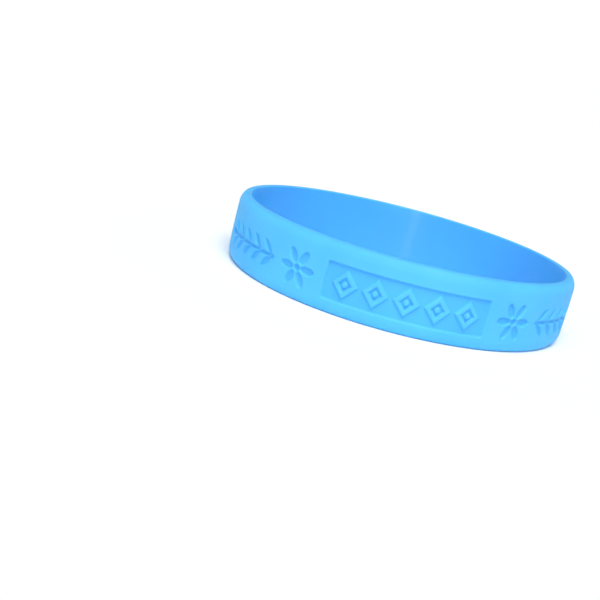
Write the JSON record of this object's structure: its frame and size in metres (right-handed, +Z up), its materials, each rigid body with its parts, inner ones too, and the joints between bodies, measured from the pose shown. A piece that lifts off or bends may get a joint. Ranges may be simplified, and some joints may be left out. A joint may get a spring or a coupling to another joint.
{
  "type": "silicone wristband",
  "caption": "Closed round silicone wristband with a flat inner face, round shoulders and sunk ornaments along the front; stretches over the hand onto the wrist.",
  "frame": {"origin": "on the floor under the middle of the loop, in the plane of the lower rim", "axes": "+Z up along the loop's axis, -Y out of the middle of the marked front, +X to the right of someone who looks at that front"},
  "size_m": [0.0642, 0.0642, 0.012],
  "materials": {
    "silicone": "light blue silicone, satin matt outside and slightly glossier inside"
  },
  "bodies": {
    "root": {"band": "silicone"}
  },
  "joints": []
}
